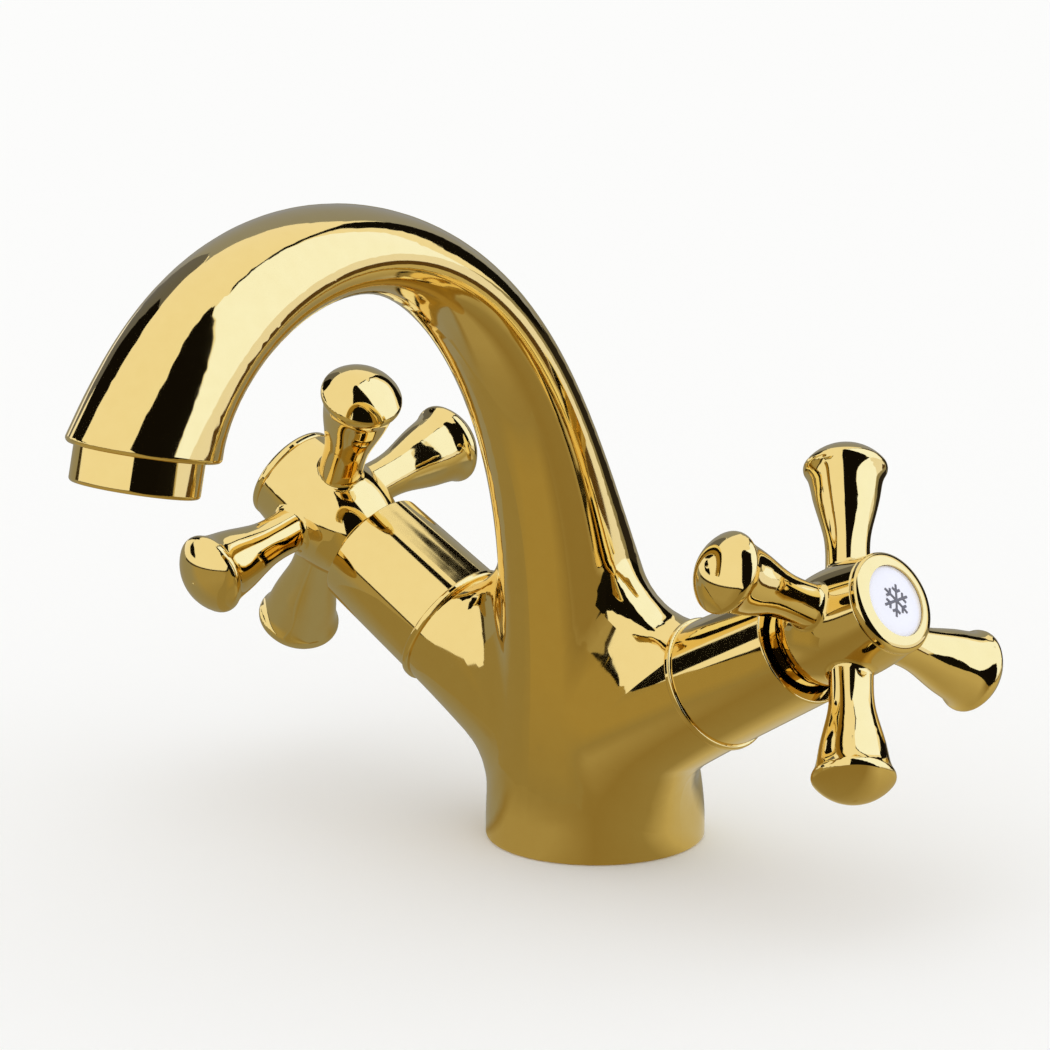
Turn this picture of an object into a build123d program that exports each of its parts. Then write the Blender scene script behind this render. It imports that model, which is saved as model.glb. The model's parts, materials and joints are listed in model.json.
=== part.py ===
"""Two-handle basin mixer: a swan-neck cast body with cross handles on quarter-turn valves.

The origin is the centre of the base on the deck, +Z is up and the spout points to -Y.
Each valve has its own axis, which rises from the body to the side.  Distances along that axis
are measured from the point where it crosses the body's vertical axis.
"""
from build123d import *
import os
from math import cos, pi, radians, sin, sqrt, tan

# Base and deck side
base_radius = 23.5
base_edge = 0.8
base_skirt_height = 14.0
base_draft = 0.7
gasket_margin = 3.0
gasket_width = 4.0
gasket_height = 2.4
gasket_gap = 0.1
inlet_spacing = 19.0
inlet_radius = 4.5
inlet_depth = 12.0
stud_offset = 11.0
stud_radius = 3.4
stud_depth = 14.0

# Swan neck: centre line in the YZ plane and oval sections across it
neck_rise = (-9.7, 63.4)
neck_shoulder = (-35.9, 118.0)
neck_crown = (-82.7, 145.0)
spout_reach = 145.2
outlet_height = 115.2
outlet_tilt = 14.0
nose_length = 15.5
nose_rise = 20.3
neck_sections = [
    # share of the centre line, half width, half thickness
    (0.25, 15.6, 14.0),
    (0.42, 13.6, 9.8),
    (0.56, 13.4, 8.7),
    (0.71, 13.8, 9.3),
    (0.85, 14.8, 11.2),
]
spout_half_width = 15.6
spout_half_depth = 16.8
spout_lip = 1.0
casting_wall = 2.6
waterway_start = 0.15
waterway_start_radius = 9.0
waterway_end_radius = 8.0

# Aerator in the outlet
aerator_offset = 0.9
aerator_thread_radius = 11.0
aerator_thread_length = 4.5
aerator_collar_radius = 13.35
aerator_collar_height = 7.6
aerator_collar_edge = 0.8
aerator_wall = 1.4
aerator_lip = 1.2
aerator_lip_height = 1.2
aerator_washer_height = 1.4
aerator_screen_thickness = 0.6
insert_gap = 0.1
insert_wall = 1.0
insert_grid_height = 2.6
insert_hole_radius = 1.0
insert_hole_pitch = 2.4
insert_hole_rings = 3
thread_gap = 0.05

# Valve axis and arms of the body
valve_axis_height = 20.7
valve_axis_forward = 4.1
valve_tilt = 29.7
arm_length = 40.4
arm_end_radius = 14.0
arm_waist = 26.0
arm_swell = 0.8
arm_root_depth = 15.5
arm_root_core = 9.5
arm_blend = 18.0
arm_wall = 3.75

# Quarter-turn headwork in each arm
seat_distance = 20.6
headwork_wall = 2.7
headwork_skirt_relief = 1.3
headwork_skirt_length = 9.5
headwork_hex_gap = 0.5
headwork_hex_height = 4.5
headwork_neck_radius = 8.4
headwork_neck_length = 11.5
headwork_seal_wire = 1.6
headwork_window_width = 8.0
headwork_start_gap = 0.6
mixing_radius = 2.5
seat_seal_height = 2.4
seat_port_radius = 4.0
disc_thickness = 3.2
disc_gap = 0.2
port_inner_radius = 2.6
port_outer_radius = 5.8
port_angle = 70.0

# Spindle
spindle_radius = 5.0
spindle_gap = 0.05
driver_width = 6.0
driver_height = 3.0
tongue_width = 3.8
tongue_height = 1.4
tongue_gap = 0.1
thrust_washer_height = 0.8
seal_wire = 1.6
seal_start = 5.0
seal_spacing = 5.0
clip_radius = 6.6
clip_thickness = 1.0
clip_groove_radius = 4.2
clip_shoulder = 1.0
spline_radius = 4.0
spline_root_radius = 3.5
spline_teeth = 20
spline_gap = 0.05

# Sleeve over the headwork
sleeve_length = 27.6
sleeve_taper = 0.8
sleeve_wall = 1.4
sleeve_ring_step = 0.7
sleeve_ring_height = 1.6
sleeve_ring_edge = 0.5
sleeve_rim_edge = 0.4
sleeve_web_gap = 1.5
sleeve_web_height = 4.5
sleeve_mouth_gap = 0.9
sleeve_mouth_depth = 1.2
sleeve_mouth_land = 1.8

# Cross handle
handle_standoff = 13.4
handle_turn = {"hot": -15.2, "cold": 30.9}
skirt_radius = 10.0
skirt_length = 16.0
hub_waist = 12.4
hub_waist_radius = 9.6
hub_shoulder = 8.2
hub_shoulder_radius = 11.3
hub_radius = 12.2
hub_front = 11.4
hub_front_radius = 11.1
hub_web = 3.2
spindle_end_gap = 0.2
spoke_root = 6.0
spoke_waist = 20.0
spoke_waist_radius = 5.0
spoke_flare = 29.3
spoke_flare_radius = 7.2
spoke_rim = 35.5
spoke_rim_radius = 9.3
spoke_rim_edge = 1.6
spoke_length = 40.8
spoke_blend = 1.5
screw_radius = 2.45
screw_gap = 0.05
screw_length = 10.0
screw_head_radius = 4.5
screw_head_height = 3.0
screw_hex_across = 3.0
screw_hex_depth = 1.8
bezel_stem_radius = 7.95
bezel_stem_length = 2.6
bezel_stem_wall = 1.1
bezel_gap = 0.05
bezel_height = 2.5
bezel_wall = 0.9
bezel_edge = 0.4
bezel_lip = 0.4
bezel_rim = 3.3
index_thickness = 2.0
index_dome = 0.6

SIDES = {"hot": -1, "cold": 1}
FOOT = (Align.CENTER, Align.CENTER, Align.MIN)

# Sizes that follow from the driving dimensions
gasket_outer_radius = base_radius - gasket_margin
gasket_inner_radius = gasket_outer_radius - gasket_width
aerator_bore_depth = aerator_thread_length + aerator_washer_height
aerator_bore_radius = aerator_thread_radius - aerator_wall
aerator_length = aerator_thread_length + aerator_collar_height
insert_radius = aerator_bore_radius - insert_gap
insert_floor = aerator_collar_height - aerator_lip_height
insert_height = aerator_length - aerator_lip_height - aerator_screen_thickness
arm_waist_radius = arm_end_radius + arm_swell
arm_root = base_radius - arm_root_depth
arm_root_radius = (base_radius + arm_root_core) / 2
valve_bore_radius = arm_end_radius - arm_wall
headwork_thread_radius = valve_bore_radius - thread_gap
headwork_skirt_radius = headwork_thread_radius - headwork_skirt_relief
headwork_cavity_radius = headwork_thread_radius - headwork_wall
sleeve_foot_radius = arm_end_radius
sleeve_end_radius = sleeve_foot_radius - sleeve_taper
sleeve_ring_radius = sleeve_foot_radius + sleeve_ring_step
headwork_hex_radius = sleeve_foot_radius - sleeve_wall - headwork_hex_gap
sleeve_mouth_radius = skirt_radius + sleeve_mouth_gap
seal_recess_radius = headwork_thread_radius + headwork_seal_wire + thread_gap
disc_radius = headwork_cavity_radius - disc_gap
driver_length = 2 * sqrt(disc_radius**2 - (driver_width / 2) ** 2) - 2 * tongue_gap
seal_groove_radius = spindle_radius - seal_wire
dome_height = spoke_length - spoke_rim
dome_radius = (spoke_rim_radius**2 + dome_height**2) / (2 * dome_height)
index_radius = hub_front_radius - bezel_rim
index_crown_radius = (index_radius**2 + index_dome**2) / (2 * index_dome)

# Stations along the valve axis
headwork_start = seat_distance + headwork_start_gap
skirt_end = seat_distance + headwork_skirt_length
disc_seat = seat_distance + seat_seal_height
disc_contact = disc_seat + disc_thickness
driver_start = disc_contact + disc_thickness
driver_end = driver_start + driver_height
cavity_end = driver_end + thrust_washer_height
seal_stations = [cavity_end + seal_start, cavity_end + seal_start + seal_spacing]
hex_end = arm_length + headwork_hex_height
neck_end = hex_end + headwork_neck_length
clip_end = neck_end + clip_thickness
journal_end = clip_end + clip_shoulder
sleeve_end = arm_length + sleeve_length
handle_centre = sleeve_end + handle_standoff
web_start = hex_end + sleeve_web_gap
skirt_start = handle_centre - skirt_length
socket_end = handle_centre - hub_web
spindle_end = socket_end - spindle_end_gap
hub_face = handle_centre + hub_front
bezel_face = hub_face + bezel_height


def along(side, distance):
    """The point at a distance along one valve's axis."""
    tilt = radians(valve_tilt)
    rise = valve_axis_height + sin(tilt) * distance
    return Vector(side * cos(tilt) * distance, -valve_axis_forward, rise)


def valve_axis(side):
    return Axis(along(side, 0), along(side, 1) - along(side, 0))


def profile_plane(side):
    """The plane for half profiles: x runs along the valve's axis, y away from it."""
    return Plane(along(side, 0), x_dir=valve_axis(side).direction, z_dir=(0, -side, 0))


def cross_plane(side, distance):
    """The plane across the valve's axis: x points to the front of the faucet."""
    return Plane(along(side, distance), x_dir=(0, -1, 0), z_dir=valve_axis(side).direction)


def turned(side, points, mode=Mode.ADD):
    """Turn a closed half profile about the valve's axis."""
    with BuildSketch(profile_plane(side)) as half:
        with BuildLine():
            Polyline(*points, close=True)
        make_face()
    revolve(half.sketch, axis=valve_axis(side), mode=mode)


def ring(side, start, end, inner, outer, mode=Mode.ADD):
    """A plain ring, or a disc where the inner radius is 0, between two stations."""
    turned(side, [(start, inner), (end, inner), (end, outer), (start, outer)], mode)


def o_ring(side, distance, inner, wire):
    """An O-ring of round wire, with its middle at a distance along the valve's axis."""
    with BuildSketch(profile_plane(side)) as half:
        with Locations((distance, inner + wire / 2)):
            Circle(wire / 2)
    revolve(half.sketch, axis=valve_axis(side))


def save(part, name):
    part.label = name
    export_step(part, f"parts/{name}.step")


outlet = (-spout_reach, outlet_height)
neck_fall = (nose_length - spout_reach, outlet_height + nose_rise)
with BuildLine(Plane.YZ) as neck_line:
    lean = radians(outlet_tilt)
    Spline(
        [(0, 0), neck_rise, neck_shoulder, neck_crown, neck_fall, outlet],
        tangents=[(0, 1), (-sin(lean), -cos(lean))],
    )
centre_line = neck_line.edges()[0]


def neck_plane(share):
    """The plane across the neck: x points to the inside of the bend."""
    direction = centre_line % share
    return Plane(centre_line @ share, x_dir=Vector(1, 0, 0).cross(direction), z_dir=direction)


spout_plane = neck_plane(1)
outlet_plane = Plane(
    spout_plane.from_local_coords((-aerator_offset, 0, 0)),
    x_dir=spout_plane.x_dir,
    z_dir=spout_plane.z_dir,
)
skirt_share = base_skirt_height / centre_line.length
sections = [
    (0, base_radius, base_radius),
    (skirt_share, base_radius - base_draft, base_radius - base_draft),
    *neck_sections,
    (1, spout_half_width, spout_half_depth),
]


def make_waterway():
    """The cored passage of the neck, one wall inside the casting."""
    with BuildPart() as waterway:
        with BuildSketch(neck_plane(waterway_start)):
            Circle(waterway_start_radius)
        for share, half_width, half_thickness in neck_sections:
            with BuildSketch(neck_plane(share)):
                Ellipse(half_thickness - casting_wall, half_width - casting_wall)
        with BuildSketch(neck_plane(1 - aerator_thread_length / centre_line.length)):
            Circle(waterway_end_radius)
        loft()
    return waterway.part


def make_body():
    """The casting: lofted column and neck, turned arms, blends, then the cored and drilled passages."""
    with BuildPart() as body:
        for share, half_width, half_thickness in sections:
            with BuildSketch(neck_plane(share)):
                Ellipse(half_thickness, half_width)
        loft()

        joins = []
        for side in SIDES.values():
            with BuildSketch(profile_plane(side)):
                with BuildLine():
                    flank = Spline(
                        (arm_length, arm_end_radius),
                        (arm_waist, arm_waist_radius),
                        (arm_root, arm_root_radius),
                    )
                    Polyline(flank @ 1, (arm_root, 0), (arm_length, 0), flank @ 0)
                make_face()
            revolve(axis=valve_axis(side))
            joins += body.edges(Select.NEW)
        fillet(joins, arm_blend)
        fillet(body.edges().group_by(Axis.Z)[0], base_edge)
        fillet(body.faces().sort_by(Axis.Y)[0].edges(), spout_lip)

        # Passages of the neck and the outlet
        add(make_waterway(), mode=Mode.SUBTRACT)
        with BuildSketch(outlet_plane):
            Circle(aerator_thread_radius + thread_gap)
        extrude(amount=-aerator_bore_depth, mode=Mode.SUBTRACT)

        # Valve bores, with the seal's recess at the mouth and the port below the seat
        tilt = radians(valve_tilt)
        for side in SIDES.values():
            recess = arm_length - headwork_seal_wire
            ring(side, seat_distance, arm_length, 0, valve_bore_radius, Mode.SUBTRACT)
            ring(side, recess, arm_length, 0, seal_recess_radius, Mode.SUBTRACT)
            ring(side, inlet_spacing / 2 / cos(tilt), seat_distance, 0, seat_port_radius, Mode.SUBTRACT)
        seat = along(1, seat_distance)
        with BuildSketch(Plane.YZ):
            with Locations((seat.Y, seat.Z + valve_bore_radius * cos(tilt))):
                Circle(mixing_radius)
        extrude(amount=seat.X, both=True, mode=Mode.SUBTRACT)

        # Deck side: gasket groove, inlets and stud hole
        with BuildSketch():
            Circle(gasket_outer_radius + gasket_gap)
            Circle(gasket_inner_radius - gasket_gap, mode=Mode.SUBTRACT)
        extrude(amount=gasket_height, mode=Mode.SUBTRACT)
        meeting_height = valve_axis_height + inlet_spacing / 2 * tan(tilt)
        with Locations((0, -valve_axis_forward)):
            with GridLocations(inlet_spacing, 0, 2, 1):
                Cylinder(inlet_radius, inlet_depth, align=FOOT, mode=Mode.SUBTRACT)
                Cylinder(seat_port_radius, meeting_height, align=FOOT, mode=Mode.SUBTRACT)
        with Locations((0, stud_offset)):
            Cylinder(stud_radius, stud_depth, align=FOOT, mode=Mode.SUBTRACT)
    return body.part


def make_gasket():
    with BuildPart() as gasket:
        with BuildSketch():
            Circle(gasket_outer_radius)
            Circle(gasket_inner_radius, mode=Mode.SUBTRACT)
        extrude(amount=gasket_height)
    return gasket.part


def hole_rings():
    """The hole pattern that the aerator's insert and screen share, cut from the sketch."""
    RegularPolygon(insert_hole_radius, 6, mode=Mode.SUBTRACT)
    for circle in range(1, insert_hole_rings + 1):
        with PolarLocations(circle * insert_hole_pitch, 6 * circle):
            RegularPolygon(insert_hole_radius, 6, mode=Mode.SUBTRACT)


def make_aerator_housing():
    with BuildPart() as housing:
        with BuildSketch(outlet_plane):
            Circle(aerator_collar_radius)
        extrude(amount=aerator_collar_height)
        fillet(housing.faces().sort_by(Axis.Z)[0].edges(), aerator_collar_edge)
        with BuildSketch(outlet_plane):
            Circle(aerator_thread_radius)
        extrude(amount=-aerator_thread_length)
        with BuildSketch(outlet_plane.offset(-aerator_thread_length)):
            Circle(aerator_bore_radius)
        extrude(amount=aerator_length - aerator_lip_height, mode=Mode.SUBTRACT)
        with BuildSketch(outlet_plane.offset(aerator_collar_height)):
            Circle(aerator_bore_radius - aerator_lip)
        extrude(amount=-aerator_lip_height, mode=Mode.SUBTRACT)
    return housing.part


def make_aerator_insert():
    """A cup with a grid of straight channels at the outlet."""
    with BuildPart() as insert:
        with BuildSketch(outlet_plane.offset(insert_floor)):
            Circle(insert_radius)
            hole_rings()
        extrude(amount=-insert_grid_height)
        with BuildSketch(outlet_plane.offset(insert_floor - insert_grid_height)):
            Circle(insert_radius)
            Circle(insert_radius - insert_wall, mode=Mode.SUBTRACT)
        extrude(amount=-(insert_height - insert_grid_height))
    return insert.part


def make_aerator_screen():
    with BuildPart() as screen:
        with BuildSketch(outlet_plane.offset(insert_floor - insert_height)):
            Circle(insert_radius)
            hole_rings()
        extrude(amount=-aerator_screen_thickness)
    return screen.part


def make_aerator_washer():
    with BuildPart() as washer:
        with BuildSketch(outlet_plane.offset(-aerator_thread_length)):
            Circle(aerator_thread_radius)
            Circle(aerator_bore_radius - aerator_lip, mode=Mode.SUBTRACT)
        extrude(amount=-aerator_washer_height)
    return washer.part


def make_headwork(side):
    """Valve body: skirt round the discs, thread in the arm, hexagon, and neck for the spindle."""
    with BuildPart() as headwork:
        ring(side, headwork_start, skirt_end, 0, headwork_skirt_radius)
        ring(side, skirt_end, arm_length, 0, headwork_thread_radius)
        with BuildSketch(cross_plane(side, arm_length)):
            RegularPolygon(headwork_hex_radius, 6)
        extrude(amount=headwork_hex_height)
        ring(side, hex_end, neck_end, 0, headwork_neck_radius)
        ring(side, headwork_start, cavity_end, 0, headwork_cavity_radius, Mode.SUBTRACT)
        ring(side, cavity_end, neck_end, 0, spindle_radius + spindle_gap, Mode.SUBTRACT)
        with BuildSketch(cross_plane(side, disc_contact)):
            Rectangle(headwork_skirt_radius * 3, headwork_window_width)
        extrude(amount=disc_thickness, mode=Mode.SUBTRACT)
    return headwork.part


def make_headwork_seal(side):
    with BuildPart() as seal:
        o_ring(side, arm_length - headwork_seal_wire / 2, headwork_thread_radius, headwork_seal_wire)
    return seal.part


def make_seat_seal(side):
    with BuildPart() as seal:
        ring(side, seat_distance, disc_seat, seat_port_radius, disc_radius)
    return seal.part


def ports(turn):
    """Two opposite sector holes of a ceramic disc, cut from the sketch."""
    for middle in (turn, turn + 180):
        with BuildLine() as outline:
            outer = CenterArc((0, 0), port_outer_radius, middle - port_angle / 2, port_angle)
            inner = CenterArc((0, 0), port_inner_radius, middle - port_angle / 2, port_angle)
            Line(outer @ 0, inner @ 0)
            Line(outer @ 1, inner @ 1)
        make_face(outline.edges(), mode=Mode.SUBTRACT)


def make_fixed_disc(side):
    with BuildPart() as disc:
        with BuildSketch(cross_plane(side, disc_seat)):
            Circle(disc_radius)
            ports(0)
        extrude(amount=disc_thickness)
    return disc.part


def make_moving_disc(side):
    """The turned disc: its holes stand across those of the fixed disc while the valve is shut."""
    with BuildPart() as disc:
        with BuildSketch(cross_plane(side, disc_contact)):
            Circle(disc_radius)
            ports(90)
        extrude(amount=disc_thickness)
        with BuildSketch(cross_plane(side, driver_start)):
            Rectangle(disc_radius * 3, tongue_width + 2 * tongue_gap)
        extrude(amount=-tongue_height - tongue_gap, mode=Mode.SUBTRACT)
    return disc.part


def make_thrust_washer(side):
    with BuildPart() as washer:
        ring(side, driver_end, cavity_end, spindle_radius + disc_gap, disc_radius)
    return washer.part


def toothed(tip_radius, root_radius):
    """A spline section with pointed teeth, on the sketch in hand."""
    step = pi / spline_teeth
    radii = [tip_radius, root_radius] * spline_teeth
    with BuildLine() as outline:
        Polyline(*[(r * cos(i * step), r * sin(i * step)) for i, r in enumerate(radii)], close=True)
    make_face(outline.edges())


def make_spindle(side):
    """Driver with its tongue, journal with two seal grooves and a clip groove, and the spline."""
    with BuildPart() as spindle:
        with BuildSketch(cross_plane(side, driver_start)):
            Rectangle(driver_length, driver_width)
        extrude(amount=driver_height)
        with BuildSketch(cross_plane(side, driver_start)):
            Rectangle(driver_length, tongue_width)
        extrude(amount=-tongue_height)
        ring(side, driver_start, journal_end, 0, spindle_radius)
        with BuildSketch(cross_plane(side, journal_end)):
            toothed(spline_radius, spline_root_radius)
        extrude(amount=spindle_end - journal_end)
        for middle in seal_stations:
            start = middle - seal_wire / 2
            ring(side, start, start + seal_wire, seal_groove_radius, spindle_radius * 2, Mode.SUBTRACT)
        ring(side, neck_end, clip_end, clip_groove_radius, spindle_radius * 2, Mode.SUBTRACT)
        ring(side, spindle_end - screw_length, spindle_end, 0, screw_radius + screw_gap, Mode.SUBTRACT)
    return spindle.part


def make_spindle_seals(side):
    with BuildPart() as seals:
        for middle in seal_stations:
            o_ring(side, middle, seal_groove_radius, seal_wire)
    return seals.part


def make_spindle_clip(side):
    """A snap ring, open on one side."""
    with BuildPart() as clip:
        ring(side, neck_end, clip_end, clip_groove_radius, clip_radius)
        with BuildSketch(cross_plane(side, neck_end)):
            with Locations((clip_radius, 0)):
                Rectangle(clip_radius, clip_groove_radius)
        extrude(amount=clip_thickness, mode=Mode.SUBTRACT)
    return clip.part


def make_sleeve(side):
    """Tapered shroud with a foot ring on the arm, a threaded web and a hollow mouth."""
    end_wall = sleeve_end_radius - sleeve_wall
    foot_wall = sleeve_foot_radius - sleeve_wall
    lip = sleeve_end - sleeve_mouth_depth
    web = headwork_neck_radius + thread_gap
    with BuildPart() as sleeve:
        turned(
            side,
            [
                (arm_length, foot_wall),
                (arm_length, sleeve_ring_radius),
                (arm_length + sleeve_ring_height, sleeve_ring_radius),
                (arm_length + sleeve_ring_height, sleeve_foot_radius),
                (sleeve_end, sleeve_end_radius),
                (lip, sleeve_mouth_radius),
                (lip - sleeve_mouth_land, sleeve_mouth_radius),
                (lip - 2 * sleeve_mouth_land, end_wall),
                (web_start + sleeve_web_height, foot_wall),
                (web_start + sleeve_web_height, web),
                (web_start, web),
                (web_start, foot_wall),
            ],
        )
        rims = sleeve.edges().filter_by(GeomType.CIRCLE).sort_by(SortBy.RADIUS)
        fillet(rims[-2:], sleeve_ring_edge)
        fillet(sleeve.edges().sort_by(valve_axis(side))[-1], sleeve_rim_edge)
    return sleeve.part


def spoke_plane(name, quarter):
    """The plane of one spoke's half profile: x runs out along the spoke."""
    side = SIDES[name]
    angle = radians(handle_turn[name] + 90 * quarter)
    across = Plane(along(side, handle_centre), x_dir=(0, -1, 0), z_dir=valve_axis(side).direction)
    rise = across.y_dir * -side
    direction = across.x_dir * cos(angle) + rise * sin(angle)
    return Plane(across.origin, x_dir=direction, z_dir=direction.cross(across.z_dir))


def make_handle(name):
    """Cross handle: a turned hub, four turned spokes, the spline socket and the front recess."""
    side = SIDES[name]
    with BuildPart() as handle:
        with BuildSketch(profile_plane(side)):
            with BuildLine():
                belly = Spline(
                    (handle_centre - hub_waist, hub_waist_radius),
                    (handle_centre - hub_shoulder, hub_shoulder_radius),
                    (handle_centre, hub_radius),
                    (hub_face, hub_front_radius),
                )
                Polyline(
                    belly @ 1,
                    (hub_face, 0),
                    (skirt_start, 0),
                    (skirt_start, skirt_radius),
                    belly @ 0,
                )
            make_face()
        revolve(axis=valve_axis(side))
        joins = []
        for quarter in range(4):
            plane = spoke_plane(name, quarter)
            with BuildSketch(plane):
                with BuildLine():
                    flare = Spline(
                        (spoke_root, spoke_waist_radius),
                        (spoke_waist, spoke_waist_radius),
                        (spoke_flare, spoke_flare_radius),
                        (spoke_rim, spoke_rim_radius),
                        tangents=[(1, 0), (1, 1)],
                    )
                    dome = RadiusArc(flare @ 1, (spoke_length, 0), dome_radius)
                    Polyline(dome @ 1, (spoke_root, 0), flare @ 0)
                make_face()
            revolve(axis=Axis(plane.origin, plane.x_dir))
            joins += handle.edges(Select.NEW)
        fillet(joins, spoke_blend)
        circles = handle.edges().filter_by(GeomType.CIRCLE)
        fillet(circles.filter_by(lambda e: abs(e.radius - spoke_rim_radius) < 0.01), spoke_rim_edge)
        fillet(handle.edges().filter_by(GeomType.CIRCLE).sort_by(valve_axis(side))[-1], bezel_edge)
        ring(side, handle_centre, hub_face, 0, bezel_stem_radius + bezel_gap, Mode.SUBTRACT)
        ring(side, skirt_start, handle_centre, 0, screw_radius + 2 * screw_gap, Mode.SUBTRACT)
        with BuildSketch(cross_plane(side, skirt_start)):
            toothed(spline_radius + spline_gap, spline_root_radius + spline_gap)
        extrude(amount=socket_end - skirt_start, mode=Mode.SUBTRACT)
    return handle.part


def make_handle_screw(side):
    """Button-head screw from the hub's web into the spindle."""
    with BuildPart() as screw:
        ring(side, handle_centre, handle_centre + screw_head_height, 0, screw_head_radius)
        ring(side, handle_centre - screw_length, handle_centre, 0, screw_radius)
        with BuildSketch(cross_plane(side, handle_centre + screw_head_height)):
            RegularPolygon(screw_hex_across / 2, 6, major_radius=False)
        extrude(amount=-screw_hex_depth, mode=Mode.SUBTRACT)
    return screw.part


def make_index_bezel(side):
    """Rounded ring with a stem in the hub and a seat for the index disc."""
    seat = bezel_face - index_thickness
    stem_end = hub_face - bezel_stem_length
    with BuildPart() as bezel:
        with BuildSketch(profile_plane(side)):
            with BuildLine():
                brow = EllipticalCenterArc(
                    (hub_face + bezel_wall, index_radius + bezel_lip),
                    bezel_height - bezel_wall,
                    bezel_rim - bezel_lip,
                    arc_size=90,
                )
                Polyline(brow @ 1, (hub_face, hub_front_radius), (hub_face, 0), (bezel_face, 0), brow @ 0)
            make_face()
        revolve(axis=valve_axis(side))
        rims = bezel.edges().filter_by(GeomType.CIRCLE).group_by(valve_axis(side))
        fillet(rims[0], bezel_edge)
        ring(side, stem_end, hub_face, 0, bezel_stem_radius)
        ring(side, stem_end, hub_face, 0, bezel_stem_radius - bezel_stem_wall, Mode.SUBTRACT)
        ring(side, seat, bezel_face, 0, index_radius + bezel_gap, Mode.SUBTRACT)
    return bezel.part


def make_index_disc(side):
    seat = bezel_face - index_thickness
    edge = bezel_face - index_dome
    with BuildPart() as disc:
        with BuildSketch(profile_plane(side)):
            with BuildLine():
                crown = RadiusArc((edge, index_radius), (bezel_face, 0), index_crown_radius)
                Polyline(crown @ 1, (seat, 0), (seat, index_radius), crown @ 0)
            make_face()
        revolve(axis=valve_axis(side))
    return disc.part


os.makedirs("parts", exist_ok=True)
save(make_body(), "faucet_body")
save(make_gasket(), "base_gasket")
save(make_aerator_housing(), "aerator_housing")
save(make_aerator_insert(), "aerator_insert")
save(make_aerator_screen(), "aerator_screen")
save(make_aerator_washer(), "aerator_washer")
for name, side in SIDES.items():
    save(make_sleeve(side), f"{name}_sleeve")
    save(make_headwork(side), f"{name}_headwork")
    save(make_headwork_seal(side), f"{name}_headwork_seal")
    save(make_seat_seal(side), f"{name}_seat_seal")
    save(make_fixed_disc(side), f"{name}_fixed_disc")
    save(make_thrust_washer(side), f"{name}_thrust_washer")
    save(make_moving_disc(side), f"{name}_moving_disc")
    save(make_spindle(side), f"{name}_spindle")
    save(make_spindle_seals(side), f"{name}_spindle_seals")
    save(make_spindle_clip(side), f"{name}_spindle_clip")
    save(make_handle(name), f"{name}_handle")
    save(make_handle_screw(side), f"{name}_handle_screw")
    save(make_index_bezel(side), f"{name}_index_bezel")
    save(make_index_disc(side), f"{name}_index_disc")
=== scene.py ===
"""A polished gold basin mixer with two cross handles, on a pale floor among studio cards.

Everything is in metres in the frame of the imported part: the deck is z = 0, the spout points to -Y
and the cold handle is on +X.  Azimuths are degrees from -Y towards +X, as seen from above.
"""

import json
from math import cos, radians, sin, tau

import bpy
from mathutils import Matrix, Vector
from mathutils.bvhtree import BVHTree


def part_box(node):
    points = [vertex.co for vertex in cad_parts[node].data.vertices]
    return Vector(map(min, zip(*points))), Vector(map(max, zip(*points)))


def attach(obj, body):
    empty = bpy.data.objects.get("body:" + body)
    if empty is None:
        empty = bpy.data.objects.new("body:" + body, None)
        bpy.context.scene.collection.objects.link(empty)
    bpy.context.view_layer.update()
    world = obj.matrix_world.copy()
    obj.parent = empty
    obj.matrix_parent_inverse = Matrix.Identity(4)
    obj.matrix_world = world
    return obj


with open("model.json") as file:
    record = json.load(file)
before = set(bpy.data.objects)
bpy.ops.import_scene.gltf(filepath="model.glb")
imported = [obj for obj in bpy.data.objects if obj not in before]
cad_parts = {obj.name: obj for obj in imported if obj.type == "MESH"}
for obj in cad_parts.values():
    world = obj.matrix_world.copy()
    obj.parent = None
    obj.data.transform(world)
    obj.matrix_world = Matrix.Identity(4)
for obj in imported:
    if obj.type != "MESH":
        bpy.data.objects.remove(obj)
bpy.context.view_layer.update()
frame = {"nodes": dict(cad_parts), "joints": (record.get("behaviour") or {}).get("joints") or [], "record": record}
MM = 0.001

# Camera, from the photograph's viewing angle
view_azimuth = 38.95
view_elevation = 15.58
view_distance = 1.92
view_shift_right = -15.08 * MM
view_shift_up = 66.21 * MM
view_width = 225.7 * MM
view_sensor = 36.0
view_far_end = 50.0

# Gold plate: slow waves from the buffing wheel, and a faint haze in the polish
buffing_wave = 16 * MM
buffing_depth = 1.0 * MM
buffing_strength = 0.01
haze_patch = 3 * MM
haze_range = (0.3, 0.7)
gold_tones = ("#EDD186", "#F1D78E")
gold_roughness = (0.035, 0.06)

# Turned metal, and moulded, fired and glazed pieces
relief_depth = 0.05 * MM
tool_mark_strength = 0.15
turned_spread = (0.75, 1.25)
skin_strength = 0.12
mottle_grains = 8
moulded_spread = (0.8, 1.2)
glaze_roughness = 0.03

# Index marks: a snowflake for cold and a sun for hot
mark_reach = 3.7 * MM
mark_stroke = 0.62 * MM
mark_height = 0.14 * MM
snow_arms = 6
snow_barb_place = 2.05 * MM
snow_barb_reach = 1.25 * MM
snow_centre = 0.5 * MM
sun_rays = 8
sun_ray_start = 2.35 * MM
sun_centre = 1.55 * MM
barb_lean = tau / 6
stroke_points = 9
bead_sides = 12
dot_segments = 32
dot_rings = 12

# Studio floor and table
floor_tone = "#FCFCFB"
tent_tone = "#FFFFFF"
card_black = "#12100E"
floor_half = 6.0
board_lift = 0.2 * MM
mat_lift = 0.4 * MM
card_steps = 16

# Tones of glowing boards that only the metal mirrors: painted reflections, not boards lit by a lamp
cool_board = "#9A978A"
shade_board = "#908D80"
tan_board = "#9A8C62"
warm_board = "#AC9E74"
honey_board = "#A9965F"
brown_board = "#948253"
pale_board = "#C6BA92"
chalk_board = "#CAC4B2"
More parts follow.
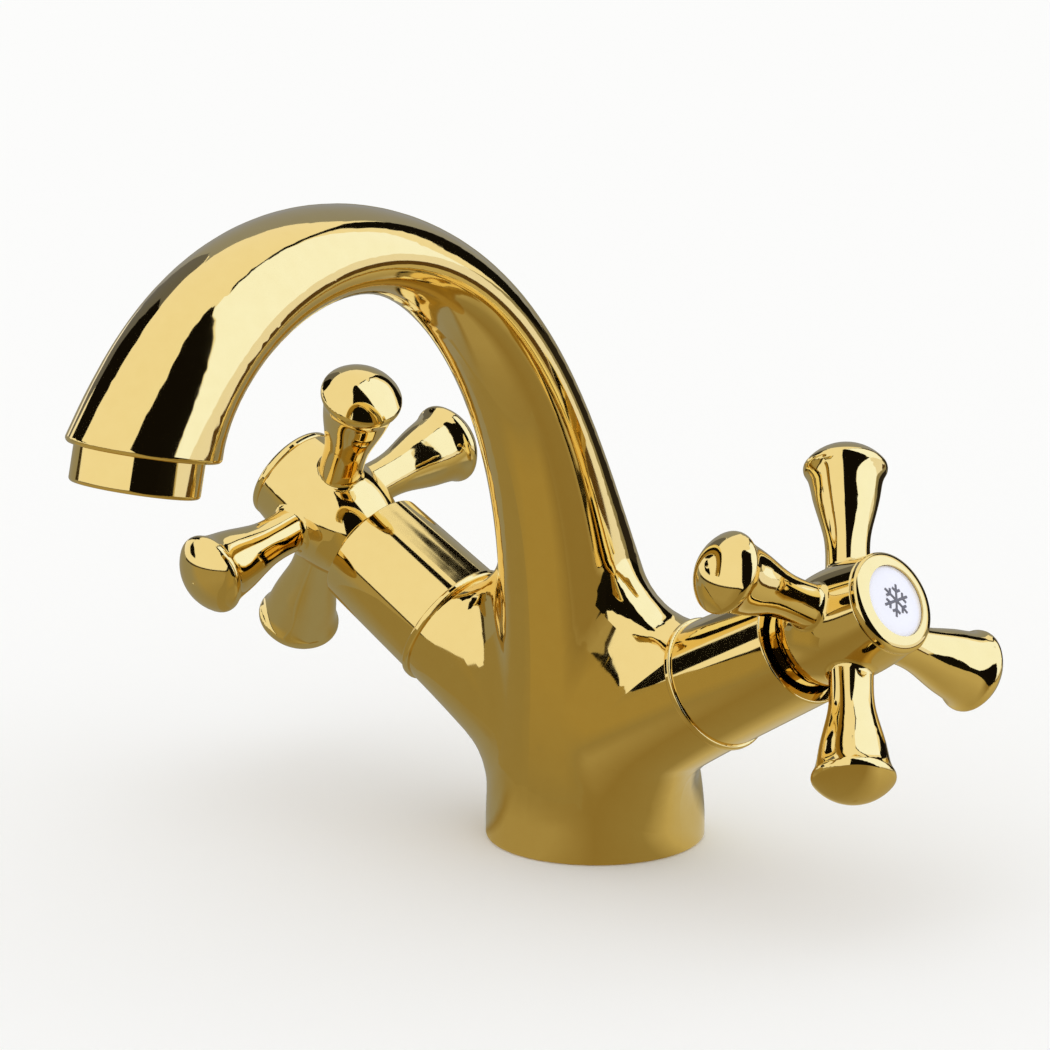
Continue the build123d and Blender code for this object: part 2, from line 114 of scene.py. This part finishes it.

# The glowing table board, as azimuth and tone, which paints the reflections in the lower curves: at the foot of
# the part, near it and far from it
foot_board = (45 * MM, 85 * MM)
near_board = (40 * MM, 180 * MM)
foot_tones = [
    (-89, cool_board), (-64, cool_board), (-54, brown_board), (-44, warm_board), (5, warm_board),
    (38, brown_board), (76, tan_board), (98, pale_board), (122, chalk_board), (146, chalk_board),
    (166, shade_board), (215, cool_board), (269, cool_board),
]
near_tones = [
    (-89, cool_board), (-58, tan_board), (-30, tan_board), (40, brown_board), (70, tan_board),
    (100, warm_board), (160, warm_board), (200, tan_board), (269, cool_board),
]
far_tones = [
    (-89, cool_board), (-60, cool_board), (-46, warm_board), (15, warm_board), (33, brown_board),
    (70, brown_board), (86, pale_board), (135, pale_board), (156, shade_board),
    (215, shade_board), (240, cool_board), (269, cool_board),
]

# Glowing mats on the table, which part it from the bright tent: painted reflections in the metal, dark ones and a
# bright sweep
table_mats = [
    # name, azimuths, distances, tone, strength
    ("front_mat", (28, 96), (0.3, floor_half), "#141210", 1.0),
    ("right_mat", (96, 150), (0.24, 0.31), "#5A4526", 1.0),
    # The right sweep glows brighter than the white tent: a painted reflection of light
    ("right_sweep", (98, 150), (0.31, floor_half), "#E4E8FA", 1.2),
    ("left_mat", (-80, 28), (1.1, floor_half), "#3B3220", 1.0),
    ("rear_mat", (160, 190), (0.22, floor_half), "#2A2622", 1.0),
]

# A low glowing screen that stands in front of the part, seen only in the metal as a painted reflection, with a
# dark line along the right of its top
screen_radius = 85 * MM
screen_steps = 4
screen_foot_height = 22 * MM
screen_tones = [
    (-80, cool_board), (-66, tan_board), (-40, tan_board), (-24, honey_board), (10, honey_board),
    (27, brown_board),
]
screen_rows = [
    # azimuth, foot, top
    (-80, 0, 30 * MM), (-66, 0, 36 * MM), (-55, 0, 42 * MM), (-47, 0, 40 * MM), (-42, 0, 43 * MM),
    (-37, 0, 51 * MM), (-32, 0, 58 * MM), (-24, 0, 58 * MM), (-17, 0, 54 * MM), (-10, 0, 52 * MM),
    (-4, 0, 50 * MM), (4, 0, 46 * MM), (12, 0, 41 * MM), (20, 0, 36 * MM), (27, 0, 33 * MM),
]
screen_edge_rows = [
    # azimuth, foot, top
    (-19, 54.5 * MM, 55 * MM), (-10, 51.5 * MM, 55 * MM), (-4, 49.5 * MM, 53.5 * MM),
    (4, 45.5 * MM, 49.5 * MM), (10, 42 * MM, 45.5 * MM), (15, 39 * MM, 41 * MM),
    (18, 37 * MM, 37.5 * MM),
]

# Curved cards on a dome round the part
dome_centre = Vector((0, -50 * MM, 70 * MM))
dome_radius = 3.0
dome_cards = [
    # name, tone, strength, rows of elevation, left azimuth and right azimuth
    ("black_flag", card_black, 1.0, [
        (-1, 31, 96), (20, 31, 90), (35, 30, 85), (50, 28, 81), (60, 26, 77),
        (67, 20, 74), (73, 14, 70), (78, 8, 66), (83, 0, 60), (86, 10, 50),
    ]),
    ("right_softbox", "#C8D7FF", 1.9, [
        (-1, 96, 150), (12, 93, 156), (30, 87, 172), (50, 82, 179), (66, 77, 176),
        (76, 69, 165), (84, 60, 120),
    ]),
    ("left_flag", card_black, 1.0, [
        (14, -101, -93), (18, -105, -87), (24, -105, -79), (31, -105, -76), (35, -102, -79),
        (39, -97, -86),
    ]),
    ("left_strip", card_black, 1.0, [
        (9, -70, -50), (13, -84, -52), (17, -84, -60), (20, -82, -68),
    ]),
    # The grey side and rear cards glow at their tones: painted reflections in the metal
    ("side_card", "#6A6C76", 1.0, [
        (4, -121, -104), (14, -121, -101), (18, -121, -105), (31, -121, -105), (39, -116, -97),
    ]),
    ("rear_card", "#989CA6", 1.0, [
        (-1, -176, -121), (9, -170, -121), (16, -166, -121), (28, -165, -121), (36, -163, -119),
        (40, -150, -116),
    ]),
    ("rear_flag", card_black, 1.0, [
        (-1, 160, 184), (4, 161, 187), (9, 163, 190), (15, 166, 194), (19, 173, 195),
        (24, 178, 195), (31, 181, 194), (38, 182, 193), (42, 185, 190),
    ]),
    ("rear_seam", card_black, 1.0, [
        (42, 185, 190), (50, 182, 186), (60, 178, 183), (70, 170, 177), (78, 158, 170),
        (84, 130, 155),
    ]),
]

# The colour sockets of a mix node, which has others of the same names
mix_first = 6
mix_second = 7
mix_result = 2


def linear(hex_colour):
    """sRGB hex to the linear RGBA that shader sockets take."""
    shares = [int(hex_colour[i:i + 2], 16) / 255 for i in (1, 3, 5)]
    return [s / 12.92 if s <= 0.04045 else ((s + 0.055) / 1.055) ** 2.4 for s in shares] + [1.0]


def add(tree, kind, values=(), links=(), **settings):
    """Adds one node: its properties, its socket values, and the sockets that feed it."""
    made = tree.nodes.new(kind)
    for name, value in settings.items():
        setattr(made, name, value)
    for socket, value in dict(values).items():
        made.inputs[socket].default_value = value
    for socket, source in dict(links).items():
        tree.links.new(source, made.inputs[socket])
    return made


def new_material(name):
    """An empty material: its tree, its object coordinates and the socket for its shader."""
    material = bpy.data.materials.new(name)
    material.use_nodes = True
    tree = material.node_tree
    tree.nodes.clear()
    place = add(tree, "ShaderNodeTexCoord").outputs["Object"]
    surface = add(tree, "ShaderNodeOutputMaterial").inputs["Surface"]
    return material, tree, place, surface


# Finishes of the pieces


def gold_plated_brass():
    """Cast brass, buffed to a mirror and gold plated: sharp reflections on faintly wavy metal."""
    material, tree, place, surface = new_material("gold_plated_brass_mirror")
    buffing = add(
        tree, "ShaderNodeTexNoise", {"Scale": 1 / buffing_wave, "Detail": 1.0}, {"Vector": place},
    )
    haze = add(
        tree, "ShaderNodeTexNoise", {"Scale": 1 / haze_patch, "Detail": 5.0}, {"Vector": place},
    )
    tone = add(tree, "ShaderNodeValToRGB", links={"Fac": haze.outputs["Fac"]})
    for stop, colour in zip(tone.color_ramp.elements, gold_tones):
        stop.color = linear(colour)
    gloss = add(
        tree, "ShaderNodeMapRange",
        {
            "From Min": haze_range[0], "From Max": haze_range[1],
            "To Min": gold_roughness[0], "To Max": gold_roughness[1],
        },
        {"Value": haze.outputs["Fac"]},
    )
    wave = add(
        tree, "ShaderNodeBump", {"Strength": buffing_strength, "Distance": buffing_depth},
        {"Height": buffing.outputs["Fac"]},
    )
    metal = add(
        tree, "ShaderNodeBsdfPrincipled", {"Metallic": 1.0},
        {
            "Base Color": tone.outputs["Color"], "Roughness": gloss.outputs["Result"],
            "Normal": wave.outputs["Normal"],
        },
    )
    tree.links.new(metal.outputs["BSDF"], surface)
    return material


def turned_metal(name, tones, roughness, groove):
    """Bar stock off the lathe: fine tool grooves that haze the reflection."""
    material, tree, place, surface = new_material(name)
    grain = add(
        tree, "ShaderNodeTexNoise", {"Scale": 1 / groove, "Detail": 4.0}, {"Vector": place},
    )
    tone = add(tree, "ShaderNodeValToRGB", links={"Fac": grain.outputs["Fac"]})
    for stop, colour in zip(tone.color_ramp.elements, tones):
        stop.color = linear(colour)
    gloss = add(
        tree, "ShaderNodeMapRange",
        {"To Min": roughness * turned_spread[0], "To Max": roughness * turned_spread[1]},
        {"Value": grain.outputs["Fac"]},
    )
    tooled = add(
        tree, "ShaderNodeBump", {"Strength": tool_mark_strength, "Distance": relief_depth},
        {"Height": grain.outputs["Fac"]},
    )
    metal = add(
        tree, "ShaderNodeBsdfPrincipled", {"Metallic": 1.0},
        {
            "Base Color": tone.outputs["Color"], "Roughness": gloss.outputs["Result"],
            "Normal": tooled.outputs["Normal"],
        },
    )
    tree.links.new(metal.outputs["BSDF"], surface)
    return material


def moulded(name, tones, roughness, grain, coat=0.0):
    """Rubber, acetal, ceramic or enamel: a faint mottle, a fine skin, and a glaze coat if any."""
    material, tree, place, surface = new_material(name)
    mottle = add(
        tree, "ShaderNodeTexNoise", {"Scale": 1 / (mottle_grains * grain), "Detail": 3.0},
        {"Vector": place},
    )
    skin = add(
        tree, "ShaderNodeTexNoise", {"Scale": 1 / grain, "Detail": 2.0}, {"Vector": place},
    )
    tone = add(tree, "ShaderNodeValToRGB", links={"Fac": mottle.outputs["Fac"]})
    for stop, colour in zip(tone.color_ramp.elements, tones):
        stop.color = linear(colour)
    gloss = add(
        tree, "ShaderNodeMapRange",
        {"To Min": roughness * moulded_spread[0], "To Max": roughness * moulded_spread[1]},
        {"Value": mottle.outputs["Fac"]},
    )
    dimple = add(
        tree, "ShaderNodeBump", {"Strength": skin_strength, "Distance": relief_depth},
        {"Height": skin.outputs["Fac"]},
    )
    body = add(
        tree, "ShaderNodeBsdfPrincipled",
        {"Coat Weight": coat, "Coat Roughness": glaze_roughness},
        {
            "Base Color": tone.outputs["Color"], "Roughness": gloss.outputs["Result"],
            "Normal": dimple.outputs["Normal"],
        },
    )
    tree.links.new(body.outputs["BSDF"], surface)
    return material


finishes = {
    # A warm mirror with hardly any haze
    "gold_plate": gold_plated_brass(),
    # Bare turned brass: a soft yellow shine
    "valve_brass": turned_metal("turned_brass", ("#B8914A", "#CBA861"), 0.28, 0.35 * MM),
    # Stainless steel, satin: a grey shine
    "steel": turned_metal("stainless_steel_satin", ("#B9BBBD", "#CFD1D2"), 0.24, 0.25 * MM),
    # Nitrile rubber: black and dull
    "seal_rubber": moulded("nitrile_rubber_black", ("#161617", "#232324"), 0.6, 0.4 * MM),
    # Acetal: milky white with a waxy shine
    "white_plastic": moulded("acetal_white", ("#E4E4DF", "#EFEFEB"), 0.38, 0.5 * MM),
    # Lapped alumina: off-white and smooth
    "valve_ceramic": moulded("alumina_lapped", ("#E9E6DE", "#F2F0EA"), 0.22, 0.3 * MM),
    # Glazed porcelain: cool white under a wet gloss
    "porcelain": moulded("porcelain_glazed_white", ("#EEEDF3", "#F7F6FA"), 0.2, 0.6 * MM, 0.8),
}
# Fired enamel: a grey line with a low gloss
mark_enamel = moulded("index_enamel_grey", ("#5E5B60", "#716E73"), 0.3, 0.3 * MM)

slot_of = {row["node"]: row["material_slot"] for row in frame["record"]["subparts"]}
for name, node in frame["nodes"].items():
    for place in node.material_slots:
        place.material = finishes[slot_of[name]]


# Index marks


def link_mesh(name, vertices, faces, material):
    """A mesh object from its points and faces, with one material."""
    mesh = bpy.data.meshes.new(name)
    mesh.from_pydata(vertices, [], faces)
    mesh.materials.append(material)
    made = bpy.data.objects.new(name, mesh)
    bpy.context.scene.collection.objects.link(made)
    return made


def index_mark_tree():
    """Strokes of raised enamel round a centre: rays, each with a pair of barbs if it has any."""
    tree = bpy.data.node_groups.new("index_mark", "GeometryNodeTree")
    sockets = tree.interface
    for name, kind in (
        ("Arms", "NodeSocketInt"), ("Barbs", "NodeSocketBool"), ("Ray Start", "NodeSocketFloat"),
        ("Reach", "NodeSocketFloat"), ("Barb Place", "NodeSocketFloat"),
        ("Barb Reach", "NodeSocketFloat"), ("Stroke", "NodeSocketFloat"),
        ("Height", "NodeSocketFloat"), ("Centre", "NodeSocketFloat"),
        ("Enamel", "NodeSocketMaterial"),
    ):
        sockets.new_socket(name, in_out="INPUT", socket_type=kind)
    sockets.new_socket("Mark", in_out="OUTPUT", socket_type="NodeSocketGeometry")
    sizes = add(tree, "NodeGroupInput").outputs

    # One ray along X, and its barbs
    root = add(tree, "ShaderNodeCombineXYZ", links={"X": sizes["Ray Start"]})
    tip = add(tree, "ShaderNodeCombineXYZ", links={"X": sizes["Reach"]})
    ray = add(
        tree, "GeometryNodeCurvePrimitiveLine",
        links={"Start": root.outputs["Vector"], "End": tip.outputs["Vector"]},
    )
    fork = add(tree, "ShaderNodeCombineXYZ", links={"X": sizes["Barb Place"]})
    strokes = add(tree, "GeometryNodeJoinGeometry")
    for side in (1, -1):
        lean = add(
            tree, "ShaderNodeVectorMath", {0: (cos(barb_lean), side * sin(barb_lean), 0)},
            {"Scale": sizes["Barb Reach"]}, operation="SCALE",
        )
        barb_tip = add(
            tree, "ShaderNodeVectorMath",
            links={0: fork.outputs["Vector"], 1: lean.outputs["Vector"]}, operation="ADD",
        )
        barb = add(
            tree, "GeometryNodeCurvePrimitiveLine",
            links={"Start": fork.outputs["Vector"], "End": barb_tip.outputs["Vector"]},
        )
        tree.links.new(barb.outputs["Curve"], strokes.inputs["Geometry"])
    barbs = add(
        tree, "GeometryNodeSwitch",
        links={"Switch": sizes["Barbs"], "True": strokes.outputs["Geometry"]},
        input_type="GEOMETRY",
    )
    lines = add(tree, "GeometryNodeJoinGeometry")
    tree.links.new(ray.outputs["Curve"], lines.inputs["Geometry"])
    tree.links.new(barbs.outputs["Output"], lines.inputs["Geometry"])
    divided = add(
        tree, "GeometryNodeResampleCurve", {"Count": stroke_points},
        {"Curve": lines.outputs["Geometry"]},
    )
    half_stroke = add(
        tree, "ShaderNodeMath", {1: 0.5}, {0: sizes["Stroke"]}, operation="MULTIPLY",
    )
    bead = add(
        tree, "GeometryNodeCurvePrimitiveCircle", {"Resolution": bead_sides},
        {"Radius": half_stroke.outputs["Value"]},
    )
    raised = add(
        tree, "GeometryNodeCurveToMesh", {"Fill Caps": True},
        {"Curve": divided.outputs["Curve"], "Profile Curve": bead.outputs["Curve"]},
    )

    # The rays in their circle, and the centre
    places = add(tree, "GeometryNodePoints", links={"Count": sizes["Arms"]})
    step = add(tree, "ShaderNodeMath", {0: tau}, {1: sizes["Arms"]}, operation="DIVIDE")
    number = add(tree, "GeometryNodeInputIndex")
    angle = add(
        tree, "ShaderNodeMath",
        links={0: number.outputs["Index"], 1: step.outputs["Value"]}, operation="MULTIPLY",
    )
    turn = add(tree, "ShaderNodeCombineXYZ", links={"Z": angle.outputs["Value"]})
    circle = add(
        tree, "GeometryNodeInstanceOnPoints",
        links={
            "Points": places.outputs["Points"], "Instance": raised.outputs["Mesh"],
            "Rotation": turn.outputs["Vector"],
        },
    )
    dot = add(
        tree, "GeometryNodeMeshUVSphere", {"Segments": dot_segments, "Rings": dot_rings},
        {"Radius": sizes["Centre"]},
    )
    dot_share = add(
        tree, "ShaderNodeMath",
        links={0: half_stroke.outputs["Value"], 1: sizes["Centre"]}, operation="DIVIDE",
    )
    dot_scale = add(
        tree, "ShaderNodeCombineXYZ", {"X": 1.0, "Y": 1.0}, {"Z": dot_share.outputs["Value"]},
    )
    low_dot = add(
        tree, "GeometryNodeTransform",
        links={"Geometry": dot.outputs["Mesh"], "Scale": dot_scale.outputs["Vector"]},
    )
    whole = add(tree, "GeometryNodeJoinGeometry")
    tree.links.new(circle.outputs["Instances"], whole.inputs["Geometry"])
    tree.links.new(low_dot.outputs["Geometry"], whole.inputs["Geometry"])

    # Pressed flat to the height of an enamel line
    share = add(
        tree, "ShaderNodeMath",
        links={0: sizes["Height"], 1: half_stroke.outputs["Value"]}, operation="DIVIDE",
    )
    flat = add(
        tree, "ShaderNodeCombineXYZ", {"X": 1.0, "Y": 1.0}, {"Z": share.outputs["Value"]},
    )
    single = add(
        tree, "GeometryNodeRealizeInstances", links={"Geometry": whole.outputs["Geometry"]},
    )
    pressed = add(
        tree, "GeometryNodeTransform",
        links={"Geometry": single.outputs["Geometry"], "Scale": flat.outputs["Vector"]},
    )
    smooth = add(
        tree, "GeometryNodeSetShadeSmooth", links={"Geometry": pressed.outputs["Geometry"]},
    )
    painted = add(
        tree, "GeometryNodeSetMaterial",
        links={"Geometry": smooth.outputs["Geometry"], "Material": sizes["Enamel"]},
    )
    add(tree, "NodeGroupOutput", links={"Mark": painted.outputs["Geometry"]})
    return tree


def index_mark(name, tree, sizes, disc, joint_name, body):
    """A mark on the face of an index disc, laid on its dome along the valve's axis."""
    host = link_mesh(name, [(0, 0, 0)], [], mark_enamel)
    rays = host.modifiers.new("index_mark", "NODES")
    rays.node_group = tree
    identifiers = {
        item.name: item.identifier
        for item in tree.interface.items_tree if item.in_out == "INPUT"
    }
    for size, value in sizes.items():
        rays[identifiers[size]] = value
    seen = host.evaluated_get(bpy.context.evaluated_depsgraph_get())
    mesh = bpy.data.meshes.new_from_object(seen)
    host.modifiers.remove(rays)

    joint = next(row for row in frame["joints"] if row["name"] == joint_name)
    pivot = Vector(joint["pos_m"])
    low, high = (Vector(corner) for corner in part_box(disc))
    out = Vector(joint["axis"]).normalized()
    if ((low + high) / 2 - pivot).dot(out) < 0:
        out = -out
    up = (Vector((0, 0, 1)) - out.z * out).normalized()
    right = up.cross(out)
    face = frame["nodes"][disc].data
    dome = BVHTree.FromPolygons(
        [v.co for v in face.vertices], [p.vertices for p in face.polygons],
    )
    # Well in front of the disc: twice as far from the pivot as its middle
    start = pivot + (low + high - 2 * pivot).length * out
    for point in mesh.vertices:
        x, y, z = point.co
        seat = dome.ray_cast(start + x * right + y * up, -out)[0]
        point.co = seat + z * out
    host.data = mesh
    mesh.name = name
    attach(host, body)


mark_tree = index_mark_tree()
stroke_sizes = {
    "Reach": mark_reach, "Stroke": mark_stroke, "Height": mark_height, "Enamel": mark_enamel,
}
snow_sizes = {
    "Arms": snow_arms, "Barbs": True, "Ray Start": 0.0, "Barb Place": snow_barb_place,
    "Barb Reach": snow_barb_reach, "Centre": snow_centre,
}
sun_sizes = {
    "Arms": sun_rays, "Barbs": False, "Ray Start": sun_ray_start, "Barb Place": 0.0,
    "Barb Reach": 0.0, "Centre": sun_centre,
}
index_mark(
    "cold_snow_mark", mark_tree, stroke_sizes | snow_sizes,
    "cold_index_disc", "cold_valve_turn", "cold_handle_set",
)
index_mark(
    "hot_sun_mark", mark_tree, stroke_sizes | sun_sizes,
    "hot_index_disc", "hot_valve_turn", "hot_handle_set",
)


# Studio


def direction(azimuth, elevation):
    """The unit vector towards an azimuth and an elevation."""
    a, e = radians(azimuth), radians(elevation)
    return Vector((sin(a) * cos(e), -cos(a) * cos(e), sin(e)))


def studio_finish(name, shader, values):
    """A plain material of one shader for the floor or a card."""
    material, tree, place, surface = new_material(name)
    made = add(tree, shader, values)
    tree.links.new(made.outputs[0], surface)
    return material


def card_glow(name, tone, strength=1.0):
    """An even glow of one tone, which polished metal mirrors."""
    values = {"Color": linear(tone), "Strength": strength}
    return studio_finish(name, "ShaderNodeEmission", values)


def studio_card(name, rows, material):
    """A card through rows of points, which polished metal shows and camera and floor don't see."""
    width = len(rows[0])
    faces = []
    for j in range(len(rows) - 1):
        for i in range(width - 1):
            k = j * width + i
            faces.append((k, k + 1, k + width + 1, k + width))
    card = link_mesh(name, [point for row in rows for point in row], faces, material)
    card.visible_camera = False
    card.visible_diffuse = False
    card.visible_shadow = False


def azimuths_between(left, right):
    return [left + (right - left) * i / card_steps for i in range(card_steps + 1)]


def dome_card(name, tone, strength, edges):
    """A curved card: each of its edges' rows is an elevation and the azimuths of its two ends."""
    rows = [
        [
            dome_centre + dome_radius * direction(azimuth, elevation)
            for azimuth in azimuths_between(left, right)
        ]
        for elevation, left, right in edges
    ]
    studio_card(name, rows, card_glow(name, tone, strength))


def table_mat(name, azimuths, distances, tone, strength):
    """A flat card on the table, which glows as a painted reflection: a sector between two azimuths and two
    distances.
    """
    lift = Vector((0, 0, mat_lift))
    rows = [
        [distance * direction(azimuth, 0) + lift for azimuth in azimuths_between(*azimuths)]
        for distance in distances
    ]
    studio_card(name, rows, card_glow(name, tone, strength))


def standing_card(name, rows, material):
    """A strip that stands round the part: each row is an azimuth, its foot and its top."""
    spots = [
        [start + (end - start) * i / screen_steps for start, end in zip(first, second)]
        for first, second in zip(rows, rows[1:]) for i in range(screen_steps)
    ]
    feet, tops = [], []
    for azimuth, foot, top in spots + [rows[-1]]:
        spot = screen_radius * direction(azimuth, 0)
        feet.append(spot + Vector((0, 0, foot)))
        tops.append(spot + Vector((0, 0, top)))
    studio_card(name, [feet, tops], material)


def ring_of_tones(tree, place, tones):
    """A colour that changes round the part, from pairs of azimuth and tone."""
    around = add(tree, "ShaderNodeTexGradient", links={"Vector": place}, gradient_type="RADIAL")
    ring = add(tree, "ShaderNodeValToRGB", links={"Fac": around.outputs["Fac"]})
    stops = ring.color_ramp.elements
    for azimuth, tone in tones:
        # The gradient starts at -X, which is an azimuth of -90
        stops.new((azimuth + 90) / 360).color = linear(tone)
    stops.remove(stops[0])
    stops.remove(stops[-1])
    return ring.outputs["Color"]


def table_reflection_glow():
    """A glowing board that lower curves reflect, a painted reflection: its tone changes round the part and away
    from it.
    """
    material, tree, place, surface = new_material("table_reflection_glow")
    away = add(tree, "ShaderNodeVectorMath", links={0: place}, operation="LENGTH")
    tone = ring_of_tones(tree, place, far_tones)
    for tones, (start, end) in ((near_tones, near_board), (foot_tones, foot_board)):
        ring = ring_of_tones(tree, place, tones)
        share = add(
            tree, "ShaderNodeMapRange", {"From Min": start, "From Max": end},
            {"Value": away.outputs["Value"]}, interpolation_type="SMOOTHSTEP",
        )
        mixed = add(
            tree, "ShaderNodeMix",
            links={"Factor": share.outputs["Result"], mix_first: ring, mix_second: tone},
            data_type="RGBA",
        )
        tone = mixed.outputs[mix_result]
    # The board glows at its tone, so its reflection in the metal is painted rather than lit
    glow = add(tree, "ShaderNodeEmission", {"Strength": 1.0}, {"Color": tone})
    tree.links.new(glow.outputs["Emission"], surface)
    return material


def screen_reflection_glow():
    """The low screen's glowing board, a painted reflection, whose foot takes up the tone of the table."""
    material, tree, place, surface = new_material("low_screen")
    ring = ring_of_tones(tree, place, screen_tones)
    level = add(tree, "ShaderNodeSeparateXYZ", links={"Vector": place})
    foot = add(
        tree, "ShaderNodeMapRange",
        {"From Max": screen_foot_height, "To Min": 1.0, "To Max": 0.0},
        {"Value": level.outputs["Z"]},
    )
    mixed = add(
        tree, "ShaderNodeMix", {mix_second: linear(tan_board)},
        {"Factor": foot.outputs["Result"], mix_first: ring}, data_type="RGBA",
    )
    # The screen glows at its tone, so its reflection in the metal is painted rather than lit
    glow = add(
        tree, "ShaderNodeEmission", {"Strength": 1.0}, {"Color": mixed.outputs[mix_result]},
    )
    tree.links.new(glow.outputs["Emission"], surface)
    return material


def square_rows(height):
    """The corners of the whole floor at a height, in two rows."""
    return [[(x, y, height) for x in (-floor_half, floor_half)] for y in (-floor_half, floor_half)]


def build_studio():
    """The pale floor, the cards that shape the reflections, and the white tent round them."""
    (front_left, front_right), (back_left, back_right) = square_rows(0)
    corners = [front_left, front_right, back_right, back_left]
    paper = studio_finish("paper_floor", "ShaderNodeBsdfDiffuse", {"Color": linear(floor_tone)})
    link_mesh("floor", corners, [(0, 1, 2, 3)], paper)

    studio_card("table_card", square_rows(board_lift), table_reflection_glow())
    for mat in table_mats:
        table_mat(*mat)
    standing_card("low_screen", screen_rows, screen_reflection_glow())
    standing_card("screen_edge", screen_edge_rows, card_glow("screen_edge", card_black))
    for card in dome_cards:
        dome_card(*card)

    world = bpy.data.worlds.new("studio_tent")
    bpy.context.scene.world = world
    world.use_nodes = True
    tent = world.node_tree.nodes["Background"]
    tent.inputs["Color"].default_value = linear(tent_tone)
    tent.inputs["Strength"].default_value = 1.0


def build_camera():
    """The camera, aimed at a point beside the part's origin, as the photograph frames it."""
    a, e = radians(view_azimuth), radians(view_elevation)
    back = direction(view_azimuth, view_elevation)
    right = Vector((cos(a), sin(a), 0))
    up = Vector((-sin(a) * sin(e), cos(a) * sin(e), cos(e)))
    target = view_shift_right * right + view_shift_up * up
    lens = bpy.data.cameras.new("photo_camera")
    camera = bpy.data.objects.new("photo_camera", lens)
    bpy.context.scene.collection.objects.link(camera)
    turn = Matrix((right, up, back)).transposed()
    camera.matrix_world = Matrix.Translation(target + view_distance * back) @ turn.to_4x4()
    lens.sensor_width = view_sensor
    lens.lens = view_sensor * view_distance / view_width
    lens.clip_end = view_far_end
    bpy.context.scene.camera = camera


build_studio()
build_camera()
bpy.context.scene.view_settings.view_transform = "Standard"
